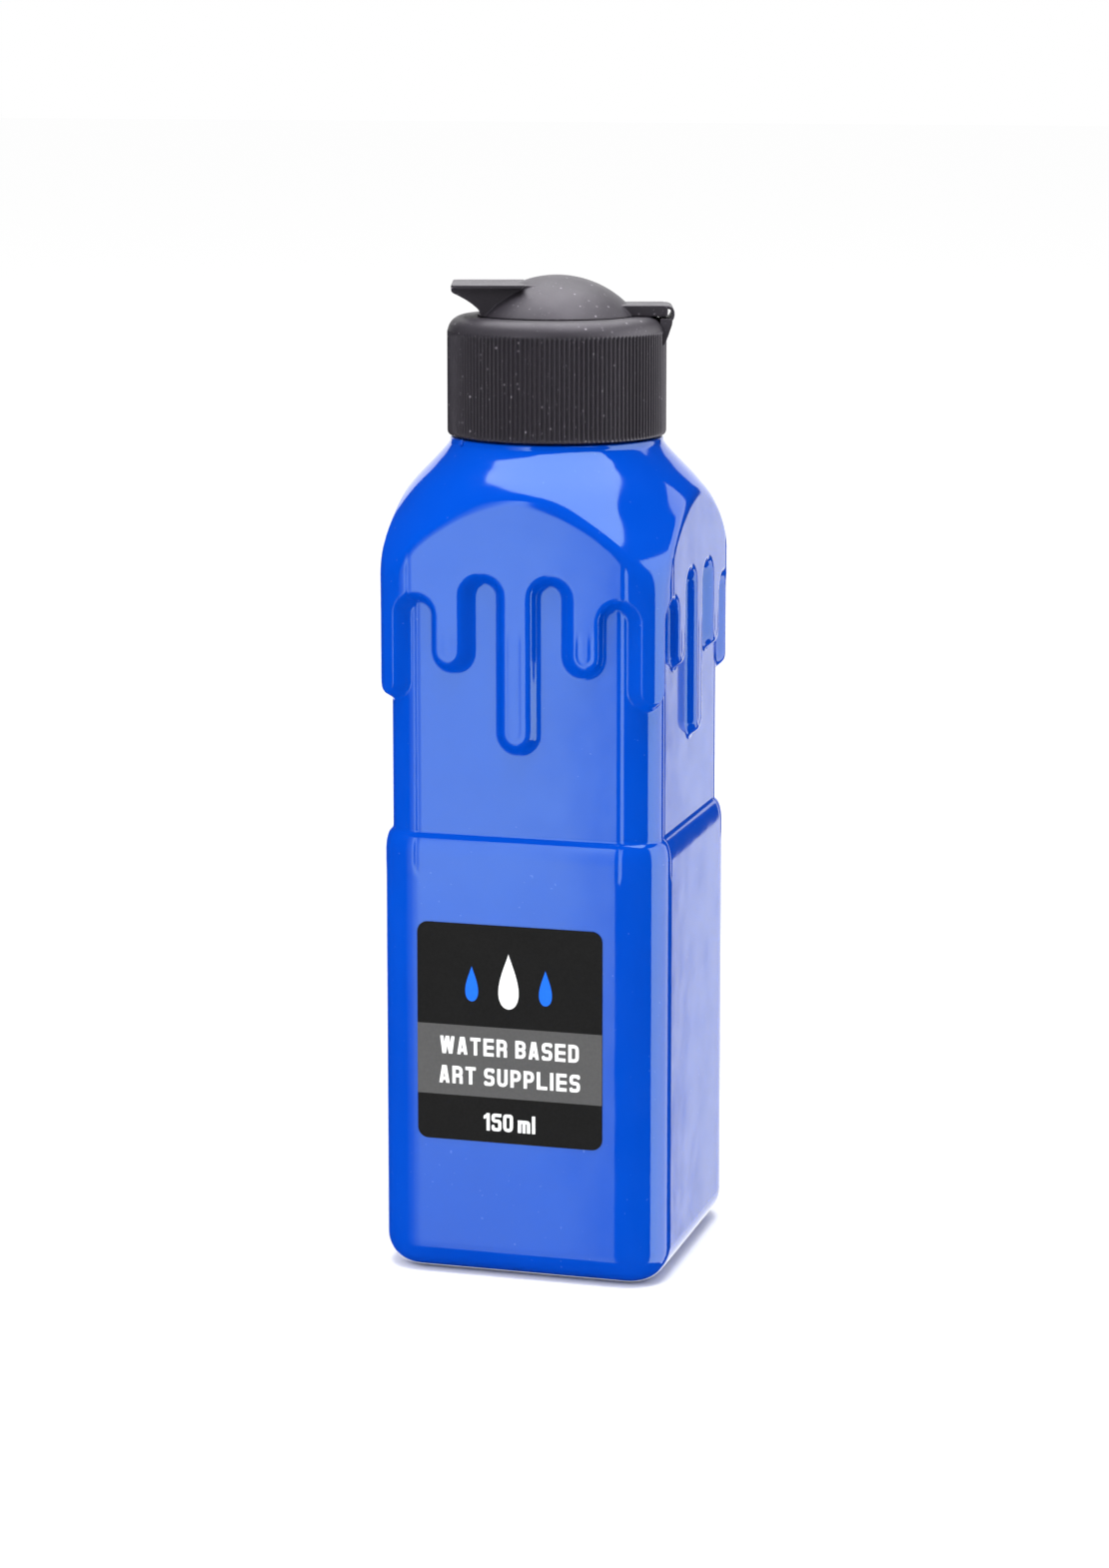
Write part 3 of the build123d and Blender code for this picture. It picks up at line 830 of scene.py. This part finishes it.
def noise(nt, scale, detail=3.0, rough=0.5, coord=None):
    n = nt.nodes.new("ShaderNodeTexNoise")
    n.inputs["Scale"].default_value = scale
    n.inputs["Detail"].default_value = detail
    n.inputs["Roughness"].default_value = rough
    nt.links.new((coord or object_coords(nt)), n.inputs["Vector"])
    return n


def object_coords(nt):
    found = [n for n in nt.nodes if n.type == "TEX_COORD"]
    n = found[0] if found else nt.nodes.new("ShaderNodeTexCoord")
    return n.outputs["Object"]


def ramp(nt, source, stops):
    r = nt.nodes.new("ShaderNodeValToRGB")
    e = r.color_ramp.elements
    while len(e) < len(stops):
        e.new(0.5)
    for el, (p, c) in zip(e, stops):
        el.position = p
        el.color = (*c, 1) if len(c) == 3 else c
    nt.links.new(source, r.inputs["Fac"])
    return r


def span(nt, source, low, high, from_low=0.0, from_high=1.0):
    r = nt.nodes.new("ShaderNodeMapRange")
    r.inputs["From Min"].default_value, r.inputs["From Max"].default_value = from_low, from_high
    r.inputs["To Min"].default_value, r.inputs["To Max"].default_value = low, high
    nt.links.new(source, r.inputs["Value"])
    return r.outputs["Result"]


def bump(nt, b, source, strength, distance):
    n = nt.nodes.new("ShaderNodeBump")
    n.inputs["Strength"].default_value = strength
    n.inputs["Distance"].default_value = distance
    nt.links.new(source, n.inputs["Height"])
    nt.links.new(n.outputs["Normal"], b.inputs["Normal"])
    return n


# glossy blue blown plastic: faint waviness of the wall, tiny specks and handling marks
blue, nt, b = material("blue_blown_plastic", (0.0, 0.050, 0.42), 0.08, IOR=1.49, Specular_Tint=(0.71, 1.0, 0.80, 1))
cloud = noise(nt, 38, 4, 0.55)
col = ramp(nt, cloud.outputs["Fac"], [(0.3, (0.0, 0.046, 0.395)), (0.7, (0.0, 0.054, 0.435))])
speck = noise(nt, 1500, 1, 0.5)
speck_mask = ramp(nt, speck.outputs["Fac"], [(0.76, (0, 0, 0)), (0.80, (1, 1, 1))])
mix = nt.nodes.new("ShaderNodeMix")
mix.data_type = "RGBA"
nt.links.new(span(nt, speck_mask.outputs["Color"], 0.0, 0.35), mix.inputs["Factor"])
nt.links.new(col.outputs["Color"], mix.inputs["A"])
mix.inputs["B"].default_value = (0.08, 0.15, 0.55, 1)
nt.links.new(mix.outputs["Result"], b.inputs["Base Color"])
scuff = noise(nt, 160, 5, 0.65)
nt.links.new(span(nt, scuff.outputs["Fac"], 0.055, 0.115, 0.35, 0.75), b.inputs["Roughness"])
wave = noise(nt, 90, 2, 0.5)
bump(nt, b, wave.outputs["Fac"], 0.10, 0.0004)

# black moulded polypropylene: fine spark texture, dust in the ribs
black, nt, b = material("black_moulded_plastic", (0.0245, 0.0220, 0.0275), 0.38, IOR=1.49, Specular_Tint=(0.95, 0.90, 1.0, 1))
dust = noise(nt, 2600, 2, 0.6)
dmask = ramp(nt, dust.outputs["Fac"], [(0.66, (0, 0, 0)), (0.74, (1, 1, 1))])
patch = noise(nt, 260, 3, 0.6)
pm = nt.nodes.new("ShaderNodeMath")
pm.operation = "MULTIPLY"
nt.links.new(dmask.outputs["Color"], pm.inputs[0])
nt.links.new(span(nt, patch.outputs["Fac"], 0.0, 0.8, 0.4, 0.7), pm.inputs[1])
# sparse light specks of dust
cells = nt.nodes.new("ShaderNodeTexVoronoi")
cells.inputs["Scale"].default_value = 900
nt.links.new(object_coords(nt), cells.inputs["Vector"])
dots = ramp(nt, cells.outputs["Distance"], [(0.10, (1, 1, 1)), (0.20, (0, 0, 0))])
pick = nt.nodes.new("ShaderNodeSeparateColor")
nt.links.new(cells.outputs["Color"], pick.inputs[0])
chosen = ramp(nt, pick.outputs[0], [(0.55, (0, 0, 0)), (0.95, (1, 1, 1))])
dp = nt.nodes.new("ShaderNodeMath")
dp.operation = "MULTIPLY"
nt.links.new(dots.outputs["Color"], dp.inputs[0])
nt.links.new(chosen.outputs["Color"], dp.inputs[1])
both = nt.nodes.new("ShaderNodeMath")
both.operation = "MAXIMUM"
nt.links.new(pm.outputs[0], both.inputs[0])
nt.links.new(dp.outputs[0], both.inputs[1])
mix = nt.nodes.new("ShaderNodeMix")
mix.data_type = "RGBA"
nt.links.new(both.outputs[0], mix.inputs["Factor"])
mix.inputs["A"].default_value = (0.0245, 0.0220, 0.0275, 1)
mix.inputs["B"].default_value = (0.20, 0.185, 0.21, 1)
nt.links.new(mix.outputs["Result"], b.inputs["Base Color"])
# the ribbed skirt is polished by handling, the deck and lid are a little duller
xyz = nt.nodes.new("ShaderNodeSeparateXYZ")
nt.links.new(object_coords(nt), xyz.inputs[0])
worn = span(nt, xyz.outputs["Z"], 0.0, 0.10, 0.1300, 0.1318)
rsum = nt.nodes.new("ShaderNodeMath")
rsum.operation = "ADD"
nt.links.new(span(nt, patch.outputs["Fac"], 0.35, 0.45, 0.3, 0.7), rsum.inputs[0])
nt.links.new(worn, rsum.inputs[1])
nt.links.new(rsum.outputs[0], b.inputs["Roughness"])
grain = noise(nt, 3200, 2, 0.6)
bump(nt, b, grain.outputs["Fac"], 0.35, 0.00004)


def print_material(name, color, rough, vary=0.06, gloss=0.5):
    m, nt, b = material(name, color, rough, Specular_IOR_Level=gloss)
    n = noise(nt, 2200, 3, 0.6)
    lo = tuple(max(0.0, c * (1 - vary)) for c in color)
    hi = tuple(min(1.0, c * (1 + vary)) for c in color)
    c = ramp(nt, n.outputs["Fac"], [(0.3, lo), (0.7, hi)])
    nt.links.new(c.outputs["Color"], b.inputs["Base Color"])
    s = noise(nt, 220, 4, 0.6)
    nt.links.new(span(nt, s.outputs["Fac"], rough * 0.8, rough * 1.25, 0.3, 0.7), b.inputs["Roughness"])
    bump(nt, b, n.outputs["Fac"], 0.08, 0.00003)
    return m


label_black = print_material("label_black_film", (0.0095, 0.0095, 0.0095), 0.5, 0.12, 0.06)
label_grey = print_material("label_grey_ink", (0.080, 0.080, 0.080), 0.5, 0.06, 0.06)
label_white = print_material("label_white_ink", (0.82, 0.82, 0.82), 0.5, 0.03, 0.1)
label_blue = print_material("label_blue_ink", (0.012, 0.13, 0.72), 0.5, 0.06, 0.06)
foam = print_material("foam_ring", (0.80, 0.80, 0.77), 0.75, 0.08)
wet_paint = print_material("liquid_paint", (0.001, 0.055, 0.50), 0.12, 0.05)
foil, nt, b = material("seal_foil", (0.80, 0.81, 0.82), 0.28, Metallic=1.0)
crinkle = noise(nt, 420, 4, 0.6)
nt.links.new(span(nt, crinkle.outputs["Fac"], 0.2, 0.4, 0.3, 0.7), b.inputs["Roughness"])
bump(nt, b, crinkle.outputs["Fac"], 0.25, 0.0001)


def finish_with(o, m):
    o.data.materials.clear()
    o.data.materials.append(m)


finish_with(bottle, blue)
for o in (cap, lid, film):
    finish_with(o, black)
finish_with(band, label_grey)
finish_with(white_ink, label_white)
finish_with(blue_ink, label_blue)
finish_with(rear_print, label_white)
for n, m in (("paint_fill", wet_paint), ("induction_seal", foil), ("neck_gasket", foam), ("front_label", label_black), ("rear_label", label_black)):
    o = nodes[n]
    for s in o.material_slots:
        s.material = m
    if not o.material_slots:
        o.data.materials.append(m)

# ---------------------------------------------------------------- floor, light, camera
floor_mesh = bpy.data.meshes.new("floor")
floor_mesh.from_pydata([(-6, -6, 0), (6, -6, 0), (6, 6, 0), (-6, 6, 0)], [], [(0, 1, 2, 3)])
floor = bpy.data.objects.new("floor", floor_mesh)
floor.location.z = -0.00002
scene.collection.objects.link(floor)
floor_mat, nt, b = material("pale_floor", (0.985, 0.985, 0.985), 0.6)
floor_mesh.materials.append(floor_mat)
floor.visible_glossy = False
b.inputs["Specular IOR Level"].default_value = 0.0

world = bpy.data.worlds.new("pale_studio")
scene.world = world
world.use_nodes = True
world.node_tree.nodes["Background"].inputs["Color"].default_value = (1, 1, 1, 1)
world.node_tree.nodes["Background"].inputs["Strength"].default_value = 1.0


def glow(name, strength, color=(1, 1, 1), across=None, upward=None):
    """Light of one strength, or falling off along (azimuth in degrees, share) or
    (height in metres, share) stops."""
    m = bpy.data.materials.new(name)
    m.use_nodes = True
    t = m.node_tree
    t.nodes.clear()
    e = t.nodes.new("ShaderNodeEmission")
    e.inputs["Color"].default_value = (*color, 1)
    e.inputs["Strength"].default_value = strength
    out = t.nodes.new("ShaderNodeOutputMaterial")
    t.links.new(e.outputs[0], out.inputs[0])

    def math_node(op, a, b=None):
        n = t.nodes.new("ShaderNodeMath")
        n.operation = op
        for socket, v in zip(n.inputs, (a, b)):
            if isinstance(v, (int, float)):
                socket.default_value = v
            elif v is not None:
                t.links.new(v, socket)
        return n.outputs[0]

    def fall_off(source, stops):
        lo, hi = stops[0][0], stops[-1][0]
        return ramp(t, span(t, source, 0.0, 1.0, lo, hi), [((p - lo) / (hi - lo), (v, v, v)) for p, v in stops]).outputs["Color"]

    if across or upward:
        xyz = t.nodes.new("ShaderNodeSeparateXYZ")
        t.links.new(object_coords(t), xyz.inputs[0])
        level = strength
        if across:
            az = math_node("ARCTAN2", xyz.outputs["X"], math_node("MULTIPLY", xyz.outputs["Y"], -1.0))
            level = math_node("MULTIPLY", fall_off(math_node("MULTIPLY", az, 180 / pi), across), level)
        if upward:
            level = math_node("MULTIPLY", fall_off(xyz.outputs["Z"], upward), level)
        t.links.new(level, e.inputs["Strength"])
    return m


def studio_panel(name, az0, az1, z0, z1, strength, radius=0.85, glossy_only=True, **kind):
    """A curved panel round the object between two azimuths (0 is in front, 90 at +X)."""
    n = 24
    verts, faces = [], []
    for i in range(n + 1):
        a = math.radians(az0 + (az1 - az0) * i / n)
        for z in (z0, z1):
            verts.append((radius * math.sin(a), -radius * math.cos(a), z))
    for i in range(n):
        faces.append((2 * i, 2 * i + 2, 2 * i + 3, 2 * i + 1))
    m = bpy.data.meshes.new(name)
    m.from_pydata(verts, [], faces)
    m.materials.append(glow(name + "_light", strength, **kind))
    o = bpy.data.objects.new(name, m)
    scene.collection.objects.link(o)
    o.visible_camera = False
    o.visible_shadow = False
    o.visible_transmission = False
    o.visible_diffuse = not glossy_only
    return o


# a dark studio as the gloss sees it, with soft boxes in it
bm = bmesh.new()
bmesh.ops.create_uvsphere(bm, u_segments=32, v_segments=16, radius=2.4)
room_mesh = bpy.data.meshes.new("dark_studio")
bm.to_mesh(room_mesh)
bm.free()
room_mesh.materials.append(glow("dark_studio_wall", 0.02))
room = bpy.data.objects.new("dark_studio", room_mesh)
scene.collection.objects.link(room)
room.visible_camera = room.visible_diffuse = room.visible_shadow = room.visible_transmission = False
studio_panel(
    "soft_box_left", -42, -13.0, -0.6, 0.75, 3.95,
    across=[(-42, 0.0), (-35, 0.14), (-28, 0.26), (-22, 0.58), (-18.8, 1.0), (-15.2, 1.0), (-14.2, 0.78), (-13.0, 0.45)],
    upward=[(-0.32, 0.50), (-0.235, 0.62), (-0.12, 1.0), (0.75, 0.95)],
)
studio_panel(
    "soft_box_right", 74, 143, -0.6, 0.75, 4.6,
    across=[(74, 1.0), (98, 0.95), (125, 0.62), (143, 0.55)],
)
studio_panel("back_panel", 163.9, 222, -0.6, 0.9, 1.5)
# soft box overhead, a little behind the object
BOX = [
    (-0.44, 0.36), (-0.41, 0.08), (-0.31, -0.06), (-0.14, -0.23), (0.12, -0.37), (0.38, -0.41),
    (0.42, -0.26), (0.37, 0.0), (0.35, 0.50), (0.10, 0.58), (-0.42, 0.60),
]
c15, s15 = math.cos(HINGE_AZ), math.sin(HINGE_AZ)
disc = bpy.data.meshes.new("soft_box_overhead")
disc.from_pydata([(u * c15 - v * s15, u * s15 + v * c15, 0.75) for u, v in BOX], [], [tuple(range(len(BOX)))])
disc.materials.append(glow("soft_box_overhead_light", 6.0))
disc_o = bpy.data.objects.new("soft_box_overhead", disc)
scene.collection.objects.link(disc_o)
disc_o.visible_camera = disc_o.visible_shadow = disc_o.visible_transmission = disc_o.visible_diffuse = False


def lamp(name, loc, size, size_y, power, target=(0, 0, 0.07)):
    l = bpy.data.lights.new(name, "AREA")
    l.shape, l.size, l.size_y, l.energy = "RECTANGLE", size, size_y, power
    o = bpy.data.objects.new(name, l)
    o.location = loc
    o.rotation_euler = (Vector(target) - Vector(loc)).to_track_quat("-Z", "Y").to_euler()
    o.visible_camera = False
    scene.collection.objects.link(o)
    return o


top = lamp("overhead", (0.05, -0.10, 0.75), 0.42, 0.30, 5.0)
top.visible_glossy = False
key = lamp("key_left", (-0.55, -0.55, 0.55), 0.5, 0.5, 3.0)
key.visible_glossy = False

cam_data = bpy.data.cameras.new("camera")
cam = bpy.data.objects.new("camera", cam_data)
scene.collection.objects.link(cam)
AZ, DIST, HEIGHT, PITCH = math.radians(15.80), 0.5489, 0.1739, math.radians(8.33)
cam.location = (DIST * math.sin(AZ), -DIST * math.cos(AZ), HEIGHT)
cam.rotation_euler = (pi / 2 - PITCH, 0, AZ)
cam_data.sensor_width = 36
cam_data.lens = 90.45
cam_data.shift_x, cam_data.shift_y = -0.0015, -0.12
cam_data.clip_start, cam_data.clip_end = 0.01, 50
scene.camera = cam
scene.view_settings.view_transform = "Standard"
